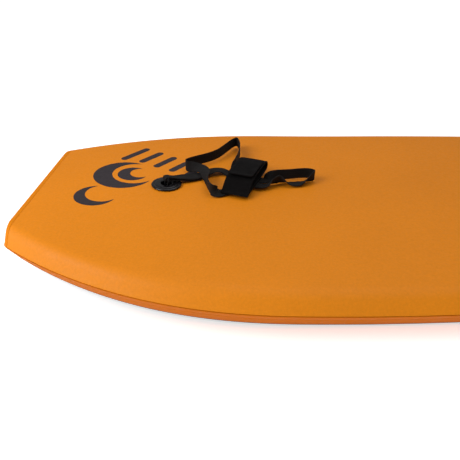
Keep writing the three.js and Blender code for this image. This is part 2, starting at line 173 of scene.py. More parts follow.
# ---- driving dimensions, in millimetres; stations are distances back from the nose tip ----
LENGTH = 1067.0
MAX_HALF_WIDTH = 273.0
NOSE_HALF_WIDTH = 153.4
TAIL_HALF_WIDTH = 232.8
WIDEST_STATION = 393.0
NOSE_CURVE_POWER = 2.3
NOSE_CORNER_RADIUS = 7.0
TAIL_CORNER_RADIUS = 25.0
CRESCENT_DEPTH = 26.0
THICKNESS = 56.0
NOSE_ROCKER = 23.6
ROCKER_END = 553.0
CHINE_INSET = 20.4
CHINE_FOOT_INSET = 0.5
RAIL_TOP = 36.5
RAIL_SEAM = 25.0
BOTTOM_INSET = 26.2
DECK_EDGE_RADIUS = 30.0
GAP = 0.3
SKIN = 3.0
SLICK = 2.0
RAIL_STRIP = 8.5
NOSE_STRIP = 8.0
TAIL_STRIP = 6.0
CHANNEL_INNER = 96.0
CHANNEL_OUTER = 160.0
CHANNEL_WALL = 9.0
CHANNEL_ROOM = 200.0
CHANNEL_DEPTH = 8.0
CHANNEL_START = 740.0
CHANNEL_FULL = 900.0
PLUG_STATION = 200.0
PLUG_SIDE = 9.0
PLUG_YAW = math.radians(30.8)
BARREL_RADIUS = 12.0
PLUG_CUP_RADIUS = 9.2
PLUG_CUP_FLOOR = -15.0
PLUG_TOP = 4.3
PIN_HEIGHT = -5.0
PIN_BORE_RADIUS = 2.3
STRING_RADIUS = 1.75
WEBBING_WIDTH = 18.0
WEBBING_THICKNESS = 1.8
SAVER_END = 62.0
SAVER_WIDTH = 22.0
SAVER_EYE_WIDTH = 11.0
# The saver's line in the plug's axes: distance along it and height, under, round the bow and back on top.
SAVER_UNDER = [(SAVER_END, 2.7), (50, 2.7), (41, 3.1), (33, 5), (26, 6.4), (17, 7.2), (8, 8.1), (0, 8.7)]
SAVER_BOW = [(-2.4, 9.8), (-3.3, 12), (-2.4, 14.2), (0, 15.3)]
SAVER_OVER = [
    (4.6, 14.7), (10, 12.6), (17, 10.6), (26, 9), (34, 7.4), (42, 5.4), (51, 4.9), (SAVER_END, 4.9),
]
CUFF_STATION = 329.0
CUFF_SIDE = 23.0
CUFF_TURN = math.radians(70.0)
CUFF_WIDTH = 45.0
CUFF_WALL = 2.6
CUFF_INSIDE_START = -47.0
CUFF_TOP = 25.0
FLAP_LIFT = 2.7
FLAP_THICKNESS = 2.0
FLAP_FOLDS = 0.25


# ---- the board's shape ----
def smoothstep(value, low, high):
    t = min(1.0, max(0.0, (value - low) / (high - low)))
    return t * t * (3 - 2 * t)


def lerp(a, b, t):
    return a + (b - a) * t


def fallback(distance, radius):
    """How far a rounded edge falls back at a distance from it."""
    short = max(0.0, radius - max(0.0, distance))
    return radius - math.sqrt(radius**2 - short**2)


def angles_round(count):
    return [2 * math.pi * k / count for k in range(count)]


def half_width(station):
    ahead = max(0.0, (WIDEST_STATION - station) / WIDEST_STATION)
    behind = max(0.0, (station - WIDEST_STATION) / (LENGTH - WIDEST_STATION))
    nose = (MAX_HALF_WIDTH - NOSE_HALF_WIDTH) * ahead**NOSE_CURVE_POWER
    tail = (MAX_HALF_WIDTH - TAIL_HALF_WIDTH) * behind**2
    return MAX_HALF_WIDTH - nose - tail - fallback(station, NOSE_CORNER_RADIUS)


def rocker(station):
    return NOSE_ROCKER * (max(0.0, ROCKER_END - station) / ROCKER_END) ** 2


def rocker_slope(station):
    return -2 * NOSE_ROCKER * max(0.0, ROCKER_END - station) / ROCKER_END**2


def in_row(station, side, height):
    """A place in millimetres as a point in metres in the row frame."""
    return Vector((station - LENGTH / 2, side, height)) * MM


def over_deck(station, side, height):
    return in_row(station, side, THICKNESS + rocker(station) + height)


def channel_depth(station):
    return CHANNEL_DEPTH * smoothstep(station, CHANNEL_START, CHANNEL_FULL)


def show(made):
    bpy.context.scene.collection.objects.link(made)


# ---- camera ----
def make_camera():
    yaw, pitch, roll = -0.014, 0.566, -0.020
    forward = Vector((math.sin(yaw) * math.cos(pitch), math.cos(yaw) * math.cos(pitch), -math.sin(pitch)))
    level = Vector((math.cos(yaw), -math.sin(yaw), 0))
    above = level.cross(forward)
    right = level * math.cos(roll) + above * math.sin(roll)
    up = above * math.cos(roll) - level * math.sin(roll)
    data = bpy.data.cameras.new("camera")
    data.lens = 34.48
    data.sensor_width = 36.0
    data.clip_end = 50.0
    camera = bpy.data.objects.new("camera", data)
    camera.matrix_world = Matrix((
        (right.x, up.x, -forward.x, -0.2224),
        (right.y, up.y, -forward.y, -0.6373),
        (right.z, up.z, -forward.z, 0.3878),
        (0, 0, 0, 1),
    ))
    show(camera)
    bpy.context.scene.camera = camera


make_camera()


# ---- node materials ----
class Shader:
    """A material's node tree with short calls for the nodes that the materials below share."""

    def __init__(self, name, color, roughness, metallic=0.0, specular=0.5):
        self.material = bpy.data.materials.new(name)
        self.material.use_nodes = True
        self.tree = self.material.node_tree
        self.height = None
        self.dress({"Base Color": (*color, 1), "Roughness": roughness})
        self.dress({"Metallic": metallic, "Specular IOR Level": specular})

    def dress(self, values):
        """Sets or links inputs of the surface."""
        for name, value in values.items():
            self.put(self.tree.nodes["Principled BSDF"].inputs[name], value)

    def put(self, socket, value):
        if isinstance(value, bpy.types.NodeSocket):
            self.tree.links.new(value, socket)
        else:
            socket.default_value = value

    def node(self, kind, values, **settings):
        """A node with its settings and inputs, each input a constant or another node's output."""
        made = self.tree.nodes.new(kind)
        for key, value in settings.items():
            setattr(made, key, value)
        for key, value in values.items():
            self.put(made.inputs[key], value)
        return made

    def place(self):
        return self.node("ShaderNodeTexCoord", {}).outputs["Object"]

    def noise(self, size, detail=2.0, roughness=0.5, where=None):
        """Noise whose features are about size millimetres across."""
        values = {"Scale": 1 / (size * MM), "Detail": detail, "Roughness": roughness}
        values["Vector"] = where or self.place()
        return self.node("ShaderNodeTexNoise", values).outputs["Fac"]

    def cells(self, size):
        values = {"Scale": 1 / (size * MM), "Vector": self.place()}
        return self.node("ShaderNodeTexVoronoi", values, feature="F1").outputs["Distance"]

    def math(self, operation, a, b=None):
        values = {0: a} if b is None else {0: a, 1: b}
        return self.node("ShaderNodeMath", values, operation=operation).outputs[0]

    def blend(self, a, share_a, b, share_b):
        return self.math("ADD", self.math("MULTIPLY", a, share_a), self.math("MULTIPLY", b, share_b))

    def ramp(self, value, low, high):
        """Maps 0..1 to colours or greys between two stops, each a place and a colour."""
        made = self.node("ShaderNodeValToRGB", {"Fac": value})
        for element, (position, color) in zip(made.color_ramp.elements, (low, high)):
            element.position = position
            element.color = (*color, 1) if isinstance(color, tuple) else (color, color, color, 1)
        return made.outputs["Color"]

    def tone(self, value, color, dark, bright, low=0.3, high=0.7):
        """Shades a colour between two factors of it."""
        shades = [tuple(channel * factor for channel in color) for factor in (dark, bright)]
        self.dress({"Base Color": self.ramp(value, (low, shades[0]), (high, shades[1]))})

    def gloss(self, value, smooth, rough, low=0.3, high=0.7):
        self.dress({"Roughness": self.ramp(value, (low, smooth), (high, rough))})

    def bump(self, value, depth, strength):
        """Adds relief of a depth in millimetres over what is there already."""
        values = {"Distance": depth * MM, "Strength": strength, "Height": value}
        if self.height:
            values["Normal"] = self.height
        self.height = self.node("ShaderNodeBump", values).outputs["Normal"]
        self.dress({"Normal": self.height})


def foam(name, color, roughness=0.5, pore=1.2, patch=0.08, specular=0.3):
    """Closed-cell foam: fine pores, a soft mottle and slow changes of tone."""
    made = Shader(name, color, roughness, specular=specular)
    mottle = made.blend(made.noise(160, 3), 0.35, made.noise(3.2, 3, 0.65), 0.65)
    made.tone(mottle, color, 1 - patch, 1 + patch)
    made.gloss(made.noise(7, 4), roughness - 0.06, roughness + 0.08)
    made.bump(made.cells(pore), 0.1, 0.7)
    made.bump(made.noise(0.7 * pore, 2), 0.06, 0.5)
    made.bump(made.noise(11, 3), 0.2, 0.35)
    return made.material


def weave_place(made, turn):
    """Metres across and along the cloth, from its UVs or, for a turned loop, from its place."""
    if turn is None:
        where = made.node("ShaderNodeUVMap", {}, uv_map="UVMap")
    else:
        where = made.node("ShaderNodeMapping", {"Rotation": (0, 0, -turn), "Vector": made.place()})
    x, y, z = made.node("ShaderNodeSeparateXYZ", {0: where.outputs[0]}).outputs
    return (x, y) if turn is None else (y, made.math("ADD", x, z))


def woven(name, color, rib, rows, roughness=0.8, sheen=0.015, specular=0.12, turn=None):
    """Webbing or cloth: ribs across, broken into rows whose slant alternates."""
    made = Shader(name, color, roughness, specular=specular)
    made.dress({"Sheen Weight": sheen, "Sheen Roughness": 0.45})
    across, along = weave_place(made, turn)
    wobble = made.math("MULTIPLY", made.noise(6, 2), 0.6 * rib * MM)
    column = made.math("PINGPONG", across, rows * MM)
    slant = made.math("ADD", made.math("ADD", along, column), wobble)
    wave = made.math("SINE", made.math("MULTIPLY", slant, 2 * math.pi / (rib * MM)))
    groove = made.math("SINE", made.math("MULTIPLY", across, math.pi / (rows * MM)))
    height = made.blend(wave, 0.5, made.math("ABSOLUTE", groove), 0.7)
    fuzz = made.noise(0.5, 3, 0.7)
    # Colour follows the rib height: painted shade in the grooves between rows and painted highlight on the rib crests,
    # mixed with random fuzz in the yarn's tone.
    made.tone(made.blend(height, 0.35, fuzz, 0.5), color, 0.4, 2.0, 0.1, 0.8)
    made.gloss(made.noise(20, 3), roughness - 0.08, roughness + 0.08)
    made.bump(height, 0.22, 0.8)
    made.bump(fuzz, 0.08, 0.5)
    return made.material


def plastic(name, color, roughness, grain=0.5, depth=0.02, specular=0.5):
    """Moulded plastic: faint grain, flow marks and dull patches from handling."""
    made = Shader(name, color, roughness, specular=specular)
    made.tone(made.noise(25, 3), color, 0.85, 1.2)
    made.gloss(made.noise(9, 4, 0.6), roughness - 0.06, roughness + 0.12)
    made.bump(made.noise(grain, 2), depth, 0.4)
    made.bump(made.noise(14, 2), 4 * depth, 0.3)
    return made.material


def metal(name, color, roughness):
    """Turned steel: fine rings and dull patches."""
    made = Shader(name, color, roughness, metallic=1.0)
    made.gloss(made.noise(2, 4), roughness - 0.08, roughness + 0.15)
    made.bump(made.noise(0.2, 2), 0.01, 0.5)
    return made.material


def slick_sheet(name, color):
    """Hard bottom sheet: satin, with long faint scratches from use along the board."""
    made = Shader(name, color, 0.28)
    stretch = made.node("ShaderNodeMapping", {"Scale": (0.04, 1, 1), "Vector": made.place()})
    scratches = made.noise(1.2, 4, 0.7, stretch.outputs[0])
    made.tone(made.noise(120, 3), color, 0.85, 1.2)
    made.gloss(scratches, 0.22, 0.5, 0.35, 0.75)
    made.bump(scratches, 0.03, 0.4)
    made.bump(made.noise(30, 2), 0.2, 0.2)
    return made.material


def pile(name, color, size):
    """Loop pile or hook tape: a close carpet of small tufts."""
    made = Shader(name, color, 0.95, specular=0.1)
    made.dress({"Sheen Weight": 0.02})
    tufts = made.cells(size)
    # Colour follows the tufts' relief: painted highlight on the tuft tops and painted shade in the gaps between them.
    made.tone(tufts, color, 1.6, 0.5, 0.1, 0.8)
    made.bump(tufts, -0.5, 0.9)
    made.bump(made.noise(0.4, 3), 0.1, 0.6)
    return made.material


ORANGE = (0.775, 0.238, 0.006)
MATERIALS = {
    "deck": foam("deck_foam", ORANGE, 0.5, specular=0.18),
    "rail": foam("rail_foam", (0.53, 0.136, 0.005), 0.65, patch=0.05, specular=0.03),
    "nose": foam("nose_foam", (0.72, 0.215, 0.006), 0.55, specular=0.06),
    "core": foam("core_foam", (0.86, 0.83, 0.76), 0.8, 2.2),
    "print": foam("print_ink", (0.030, 0.022, 0.026), 0.55, patch=0.12),
    "slick": slick_sheet("slick_sheet", (0.018, 0.019, 0.022)),
    "plug": plastic("plug_plastic", (0.006, 0.005, 0.006), 0.22, specular=0.35),
    "rod": plastic("stringer_rod", (0.02, 0.02, 0.022), 0.4, 1.5, 0.05),
    "seal": plastic("gasket_rubber", (0.012, 0.012, 0.012), 0.7),
    "steel": metal("pin_steel", (0.62, 0.62, 0.63), 0.28),
    "webbing": woven("webbing", (0.0066, 0.0054, 0.0052), 1.5, 2.0, specular=0.22),
    "cord": woven("leash_cord", (0.006, 0.0055, 0.006), 1.2, 0.7, turn=PLUG_YAW + math.pi / 2),
    "cuff": woven("cuff_fabric", (0.0034, 0.0026, 0.0026), 0.9, 0.9, 0.8, 0.01, 0.08, CUFF_TURN),
    "thread": plastic("thread", (0.014, 0.012, 0.013), 0.6, 0.3, specular=0.2),
    "loops": pile("loop_pile", (0.006, 0.006, 0.006), 0.8),
    "hooks": pile("hook_tape", (0.006, 0.006, 0.006), 1.1),
}


# ---- mesh making ----
SHARP = 40.0


def add_object(name, vertices, faces, material, body=None, sharp=SHARP, uvs=None):
    mesh = bpy.data.meshes.new(name)
    mesh.from_pydata([tuple(v) for v in vertices], [], faces)
    if uvs:
        layer = mesh.uv_layers.new(name="UVMap")
        for polygon in mesh.polygons:
            for loop in polygon.loop_indices:
                layer.data[loop].uv = uvs[polygon.index][loop - polygon.loop_start]
    mesh.materials.append(MATERIALS[material])
    made = bpy.data.objects.new(name, mesh)
    show(made)
    smooth(made, sharp)
    if body:
        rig.ride(made, body)
    return made


def from_bmesh(name, work, material):
    mesh = bpy.data.meshes.new(name)
    work.to_mesh(mesh)
    work.free()
    mesh.materials.append(material)
    made = bpy.data.objects.new(name, mesh)
    show(made)
    return made


@contextmanager
def edited(made):
    """An object's mesh as a bmesh, written back afterwards."""
    work = bmesh.new()
    work.from_mesh(made.data)
    yield work
    work.to_mesh(made.data)
    work.free()


def smooth(made, sharp):
    mesh = made.data
    mesh.polygons.foreach_set("use_smooth", [True] * len(mesh.polygons))
    mesh.set_sharp_from_angle(angle=math.radians(sharp))


def apply_modifiers(made):
    """Bakes an object's modifiers into its mesh."""
    bpy.context.view_layer.update()
    evaluated = made.evaluated_get(bpy.context.evaluated_depsgraph_get())
    mesh = bpy.data.meshes.new_from_object(evaluated)
    old = made.data
    made.modifiers.clear()
    made.data = mesh
    mesh.name = made.name
    bpy.data.meshes.remove(old)


def carve(made, *cutters, sharp=SHARP):
    """Cuts other objects out of one and removes them."""
    for shape in cutters:
        modifier = made.modifiers.new("carve", "BOOLEAN")
        modifier.operation = "DIFFERENCE"
        modifier.solver = "EXACT"
        modifier.object = shape
    apply_modifiers(made)
    smooth(made, sharp)
    for shape in cutters:
        bpy.data.objects.remove(shape)


def skin_rings(rings, closed_ends=True):
    """Faces over rings of points, each counter-clockwise seen from the last ring."""
    count = len(rings[0])
    faces = []
    for i in range(len(rings) - 1):
        for j in range(count):
            k = (j + 1) % count
            faces.append((i * count + j, i * count + k, (i + 1) * count + k, (i + 1) * count + j))
    if closed_ends:
        last = (len(rings) - 1) * count
        faces.append(tuple(reversed(range(count))))
        faces.append(tuple(range(last, last + count)))
    return [v for ring in rings for v in ring], faces


def triangulate_caps(made):
    """Splits faces of more than four corners, which a hollow end section needs."""
    with edited(made) as work:
        wide = [face for face in work.faces if len(face.verts) > 4]
        bmesh.ops.triangulate(work, faces=wide, ngon_method="EAR_CLIP")


def face_outward(made):
    with edited(made) as work:
        bmesh.ops.recalc_face_normals(work, faces=work.faces[:])


def join_seams(made):
    """Welds points that lie on each other."""
    with edited(made) as work:
        bmesh.ops.remove_doubles(work, verts=work.verts, dist=1e-7)
        bmesh.ops.dissolve_degenerate(work, edges=work.edges, dist=1e-7)


def rounded(corners, radii):
    """A closed outline with each corner replaced by a small curve of its own radius."""
    steps = 3
    points = []
    count = len(corners)
    for i, (corner, reach) in enumerate(zip(corners, radii)):
        here = Vector(corner)
        if reach <= 0:
            points.append(here)
            continue
        before = Vector(corners[i - 1]) - here
        after = Vector(corners[(i + 1) % count]) - here
        start = here + before.normalized() * min(reach, before.length * 0.45)
        end = here + after.normalized() * min(reach, after.length * 0.45)
        for k in range(steps + 1):
            t = k / steps
            points.append(start * (1 - t) ** 2 + here * 2 * t * (1 - t) + end * t**2)
    return [(p.x, p.y) for p in points]


def loft(name, stations, section, material):
    """A board piece: section(station, half width) gives its [y, z] outline, counter-clockwise."""
    rings = []
    for station in stations:
        lift = rocker(station)
        outline = section(station, half_width(station))
        rings.append([in_row(station, y, z + lift) for y, z in outline])
    made = add_object(name, *skin_rings(rings), material, "board")
    triangulate_caps(made)
    smooth(made, SHARP)
    return made


def cutter(rings):
    return add_object("cutter", *skin_rings(rings), "core")


def stations_between(start, end, step, dense=()):
    count = max(2, round((end - start) / step))
    places = {round(lerp(start, end, k / count), 3) for k in range(count + 1)}
    places.update(dense)
    return sorted(place for place in places if start <= place <= end)


# ---- board outlines ----
def deck_half(width, depth, steps=9, flat_steps=10):
    """From the top of the rail over the chine to the middle of the deck, a depth under the surface."""
    run = CHINE_INSET - CHINE_FOOT_INSET
    rise = THICKNESS - RAIL_TOP
    normal_angle = math.atan2(run, rise)
    tangent = DECK_EDGE_RADIUS * math.tan((math.pi / 2 - normal_angle) / 2)
    centre = (width - CHINE_INSET - tangent, THICKNESS - DECK_EDGE_RADIUS)
    inward = (GAP * run + depth * math.hypot(run, rise)) / rise
    foot = (width - CHINE_FOOT_INSET - inward, RAIL_TOP + GAP)
    points = [foot]
    radius = DECK_EDGE_RADIUS - depth
    first = (centre[0] + radius * math.cos(normal_angle), centre[1] + radius * math.sin(normal_angle))
    for k in range(1, 5):
        points.append((lerp(foot[0], first[0], k / 5), lerp(foot[1], first[1], k / 5)))
    for k in range(steps + 1):
        angle = lerp(normal_angle, math.pi / 2, k / steps)
        points.append((centre[0] + radius * math.cos(angle), centre[1] + radius * math.sin(angle)))
    for k in range(1, flat_steps + 1):
        points.append((centre[0] * (1 - k / (flat_steps + 0.5)), THICKNESS - depth))
    return points


def mirrored(half):
    return [(-y, z) for y, z in reversed(half)]


def undercut(width, z):
    """The rail's side at a height over the board's underside."""
    return width - BOTTOM_INSET * (1 - z / RAIL_TOP)


def bottom_half(station, width, height):
    """The underside, a height over it, from near the middle out to a side."""
    depth = channel_depth(station)
    squeeze = min(1.0, width / CHANNEL_ROOM)
    inner, outer = squeeze * CHANNEL_INNER, squeeze * CHANNEL_OUTER
    wall = squeeze * CHANNEL_WALL
    slope = min(height, 1.0)
    points = [(inner * 0.25, height), (inner * 0.65, height)]
    down = (inner - slope, inner + wall - slope, 0, depth)
    back = (outer - wall + slope, outer + slope, depth, 0)
    for start, end, low, high in (down, back):
        for k in range(7):
            t = k / 6
            points.append((lerp(start, end, t), height + lerp(low, high, smoothstep(t, 0, 1))))
    points.append((lerp(outer + slope, width, 0.5), height))
    points.append((width, height))
    return points


TAIL_EDGE = half_width(LENGTH - TAIL_CORNER_RADIUS)
TAIL_TIP = TAIL_EDGE - TAIL_CORNER_RADIUS


def tail_end(side, forward=0.0):
    """The station where the tail ends at a distance from the middle."""
    crescent = CRESCENT_DEPTH * max(0.0, 1 - (side / TAIL_TIP) ** 2)
    return LENGTH - fallback(TAIL_EDGE - abs(side), TAIL_CORNER_RADIUS) - crescent - forward


def tail_sides(steps):
    """Places across the tail, closer together round its corners."""
    inner = [lerp(0, TAIL_TIP, k / steps) for k in range(steps)]
    outer = [TAIL_TIP + TAIL_CORNER_RADIUS * math.sin(math.pi / 2 * k / 10) for k in range(11)]
    half = inner + outer
    return [-side for side in reversed(half[1:])] + half


def tail_cutter(forward):
    """A block whose front is the tail's outline, moved forward by an amount."""
    shoulder = LENGTH - TAIL_CORNER_RADIUS - forward
    reach, behind = MAX_HALF_WIDTH + 10, LENGTH + 60
    front = [(tail_end(side, forward), side) for side in tail_sides(24)]
    outline = [(shoulder, -reach)] + front + [(shoulder, reach), (behind, reach), (behind, -reach)]
    outline.reverse()
    return cutter([[in_row(station, y, z) for station, y in outline] for z in (-60, 160)])


# The leash plug's own axes: x along the rail saver, z up through the deck.
PLUG_TILT = Matrix.Rotation(math.atan(-rocker_slope(PLUG_STATION)), 4, "Y")
PLUG_AXES = Matrix.Translation(over_deck(PLUG_STATION, PLUG_SIDE, 0)) @ PLUG_TILT
PLUG_AXES = PLUG_AXES @ Matrix.Rotation(PLUG_YAW, 4, "Z")
PLUG_SHARP = 35.0


def on_plug(x, y, z):
    """A place in the plug's axes, in millimetres, as a point in the row frame."""
    return PLUG_AXES @ (Vector((x, y, z)) * MM)


def lathe(name, profile):
    """Turns a profile of (radius, height) in millimetres, from axis to axis, about the plug's axis."""
    sides, count = 96, len(profile)
    vertices, faces = [], []
    for angle in angles_round(sides):
        vertices += [on_plug(r * math.cos(angle), r * math.sin(angle), z) for r, z in profile]
    for k in range(sides):
        here, there = k * count, ((k + 1) % sides) * count
        for j in range(count - 1):
            faces.append((here + j, there + j, there + j + 1, here + j + 1))
    made = add_object(name, vertices, faces, "plug", "board", PLUG_SHARP)
    join_seams(made)
    smooth(made, PLUG_SHARP)
    return made


# ---- curves through points ----
def between(a, b, start, end, t):
    return a * ((end - t) / (end - start)) + b * ((t - start) / (end - start))


def smooth_path(points, per_span):
    """A centripetal Catmull-Rom curve through points, as a list of (point, place) pairs."""
    made = []
    count = len(points)
    for i in range(count - 1):
        b, c = points[i], points[i + 1]
        a = points[i - 1] if i > 0 else b * 2 - c
        d = points[i + 2] if i + 2 < count else c * 2 - b
        t1 = math.sqrt(max((b - a).length, 1e-9))
        t2 = t1 + math.sqrt(max((c - b).length, 1e-9))
        t3 = t2 + math.sqrt(max((d - c).length, 1e-9))
        for k in range(per_span):
            t = lerp(t1, t2, k / per_span)
            middle = between(b, c, t1, t2, t)
            early = between(between(a, b, 0, t1, t), middle, 0, t2, t)
            late = between(middle, between(c, d, t2, t3, t), t1, t3, t)
            made.append((between(early, late, t1, t2, t), i + k / per_span))
    made.append((points[-1].copy(), count - 1.0))
    return made


def tangents(points):
    """The direction of an open line at each of its points."""
    return [(after - before).normalized()
            for before, after in zip(points[:1] + points[:-1], points[1:] + points[-1:])]


def closed_path(points, per_span):
    """A smooth closed curve through the points."""
    wrapped = points[-2:] + points + points[:3]
    return [point for point, place in smooth_path(wrapped, per_span) if 2 <= place < 2 + len(points)]


def strap_section(width, thickness):
    """A flat strap's outline in metres: round selvedges a little thicker than the middle."""
    half, thick, crown = width / 2, thickness / 2, 0.12
    top = []
    for k in range(9):
        x = lerp(half - thick, -(half - thick), k / 8)
        edge = (abs(x) / half) ** 6
        top.append((x, thick * (1 - crown * (1 - edge))))
    left = [(-(half - thick) - thick * math.sin(a), thick * math.cos(a)) for a in (0.7, 1.57, 2.44)]
    bottom = [(-x, -z) for x, z in top]
    right = [(-x, -z) for x, z in left]
    return top + left + bottom + right


def strap(name, points, sides, widths):
    """A flat strap of webbing with its width along sides; its UVs are metres across and along."""
    rings, lengths = [], [0.0]
    for i, (point, tangent) in enumerate(zip(points, tangents(points))):
        side = (sides[i] - tangent * sides[i].dot(tangent)).normalized()
        normal = tangent.cross(side)
        section = strap_section(widths[i], WEBBING_THICKNESS * MM)
        rings.append([point + side * x + normal * z for x, z in section])
        if i:
            lengths.append(lengths[-1] + (point - points[i - 1]).length)
    section = strap_section(max(widths), WEBBING_THICKNESS * MM)
    uvs = []
    for low, high in zip(lengths, lengths[1:]):
        for (here, _), (there, _) in zip(section, section[1:] + section[:1]):
            uvs.append([(here, low), (there, low), (there, high), (here, high)])
    uvs.append(list(reversed(section)))
    uvs.append(section)
    return add_object(name, *skin_rings(rings), "webbing", "leash", 60.0, uvs)


# ---- the leash webbing, the one free cord ----
# Its route: [station, side, height over the deck, lean of its width from flat in degrees].
WEBBING_ROUTE = [
    [254, 41.2, 3.8, 0], [265, 48, 6, 0], [277, 55, 7.8, 0], [289, 57.5, 6.6, 0], [301, 53.5, 2.9, 0],
    [316, 43, 2.8, 0], [334, 36, 2.8, 0], [350, 30, 2.8, 0], [361, 28.5, 3.4, 5], [369, 30, 8.6, 50],
    [378, 32.5, 11.2, 84], [390, 35.5, 11.2, 90], [406, 38, 11.2, 90], [423, 41.5, 11.2, 90],
    [437, 41, 11.2, 90], [444.5, 35.5, 11.2, 90], [441, 28.5, 11, 85], [431, 23, 8, 50],
    [418, 18, 3.6, 5], [405, 16, 3.6, 5], [394, 17.5, 6.5, 35], [383, 17.5, 10.5, 72], [371, 12, 9, 52],
    [360, 5, 5.2, 8], [348, 5.5, 5.1, 0], [333, 18, 5.1, 0], [320, 36, 5.2, 0], [314, 49, 5.6, 4],
    [312, 62, 8.9, 45], [313.5, 78, 12.3, 86], [318.5, 104, 12.6, 90], [321.5, 136, 12.8, 90],
    [320.5, 162, 13, 90], [315.5, 176.5, 13, 90], [309, 170, 13, 90], [297, 147, 12.8, 90],
    [281, 117, 12.6, 90], [265, 100, 12.3, 90], [249, 88.5, 12, 90], [235, 77.5, 12, 90],
    [227.5, 68, 12, 90], [230, 59.5, 12, 85], [240, 56, 12.5, 55], [251, 52, 13.2, 22],
    [260, 40.5, 13.6, 22], [264.5, 25, 13, 45], [266.5, 8, 11.8, 80], [270, -11, 11.6, 90],
    [275.5, -24, 11.4, 86], [283, -24.5, 8, 50], [291, -19, 3.8, 8], [301, -14, 3, 0], [312, -10, 3, 0],
]


def webbing_path():
    """The strap's centre line and the direction of its width at each point, in metres."""
    places = [over_deck(station, side, height) for station, side, height, _ in WEBBING_ROUTE]
    samples = smooth_path(places, 12)
    points = [point for point, _ in samples]
    sides = []
    for (_, place), tangent in zip(samples, tangents(points)):
        span = min(int(place), len(places) - 2)
        lean = math.radians(lerp(WEBBING_ROUTE[span][3], WEBBING_ROUTE[span + 1][3], place - span))
        flat = Vector((-tangent.y, tangent.x, 0)).normalized()
        sides.append(flat * math.cos(lean) + Vector((0, 0, 1)) * math.sin(lean))
    return points, sides


webbing_points, webbing_sides = webbing_path()
webbing_widths = [WEBBING_WIDTH * MM] * len(webbing_points)
leash_strap = strap("leash_strap", webbing_points, webbing_sides, webbing_widths)
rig.replaces(leash_strap, "leash_webbing")
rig.slot(leash_strap, "webbing")


# ---- the foam board ----
BODY_STATIONS = stations_between(NOSE_STRIP + GAP, LENGTH, 9, (9.5, 11, 13, 15))
RAIL_EDGE = 1.1


def deck_section(station, width):
    outer = deck_half(width, 0)
    inner = deck_half(width, SKIN)
    lip = rounded([inner[1], inner[0], outer[0], outer[1]], [0, RAIL_EDGE, RAIL_EDGE, 0])
    half = lip[1:-1] + outer[1:]
    return half + mirrored(half) + [(-y, z) for y, z in inner[1:]] + list(reversed(inner[1:]))


def make_deck():
    deck = loft("deck_foam", BODY_STATIONS, deck_section, "deck")
    carve(deck, tail_cutter(TAIL_STRIP + GAP), barrel_bore(-20, 20))
    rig.replaces(deck, "deck_skin")
    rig.slot(deck, "deck_foam")


def barrel_bore(bottom, top):
    """Room for the plug's barrel between two heights over the deck."""
    radius = BARREL_RADIUS + GAP
    rim = [(radius * math.cos(a), radius * math.sin(a)) for a in angles_round(64)]
    return cutter([[on_plug(x, y, z) for x, y in rim] for z in (bottom, top)])


def make_rails():
    def band(width, foot, head, edges):
        low, high = undercut(width, foot), undercut(width, head)
        corners = [(low - RAIL_STRIP, foot), (low, foot), (high, head), (high - RAIL_STRIP, head)]
        return rounded(corners, edges)

    def rail_section(station, width):
        return band(width, RAIL_SEAM + GAP / 2, RAIL_TOP, [0.4, 0.7, 1.0, 0.4])

    def lower_section(station, width):
        return band(width, SLICK + GAP, RAIL_SEAM - GAP / 2, [0.4, 0.5, 0.7, 0.4])

    for side in ("left", "right"):
        for name, section in (("rail", rail_section), ("lower_rail", lower_section)):
            turned = section if side == "left" else lambda s, w, base=section: mirrored(base(s, w))
            piece = loft(f"{name}_foam_{side}", BODY_STATIONS, turned, "rail")
            carve(piece, tail_cutter(TAIL_STRIP + GAP))
            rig.replaces(piece, f"{name}_{side}")
            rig.slot(piece, "rail_foam")


def make_slick():
    stations = stations_between(0.5, LENGTH, 11, (1, 2, 3, 4, 5, 6, 7, 9))

    def section(station, width):
        lower = bottom_half(station, undercut(width, 0), 0)
        upper = bottom_half(station, undercut(width, SLICK), SLICK)
        return mirrored(lower) + lower + list(reversed(upper)) + list(reversed(mirrored(upper)))

    slick = loft("slick_skin", stations, section, "slick")
    carve(slick, tail_cutter(0), barrel_bore(-2 * THICKNESS, 0))
    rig.replaces(slick, "bottom_slick")
    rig.slot(slick, "slick_sheet")


def end_section(width, shrink):
    """The whole outline above the slick."""
    foot = SLICK + GAP + shrink
    base = undercut(width, foot)
    half = [(base * k / 9, foot) for k in range(1, 9)]
    half += [(base - 1, foot), (base, foot)]
    half += [(undercut(width, z), z) for z in (9, 16, 23, 30, 35.5)]
    half += [(width - 0.25, RAIL_TOP)] + deck_half(width, shrink)
    return half + mirrored(half)


def make_nose_strip():
    front_round, back_round = 3.0, 0.5
    stations = [0, 0.1, 0.25, 0.5, 0.8, 1.2, 1.7, 2.3, 3, 3.8, 4.8, 5.8, 7, 7.6, 7.9, NOSE_STRIP]

    def section(station, width):
        front = fallback(station, front_round)
        back = fallback(NOSE_STRIP - station, back_round)
        return end_section(width - back, front + back)

    nose = loft("nose_foam", stations, section, "nose")
    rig.replaces(nose, "nose_strip")
    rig.slot(nose, "rail_foam")


def height_on(outline, side):
    """The height of an outline, given from a side towards the middle, at a distance from the middle."""
    for (y0, z0), (y1, z1) in zip(outline, outline[1:]):
        if y1 <= side <= y0:
            return lerp(z1, z0, (side - y1) / max(y0 - y1, 1e-9))
    return outline[-1][1]


def top_outline(width):
    return [(width, RAIL_TOP)] + deck_half(width, 0, 16, 2)


def under_outline(station, width):
    lower = bottom_half(station, undercut(width, SLICK), SLICK)
    under = [(y, z + GAP) for y, z in reversed(lower)]
    foot = SLICK + GAP
    return [(width, RAIL_TOP), (undercut(width, foot), foot)] + under[1:] + [(0.0, foot)]


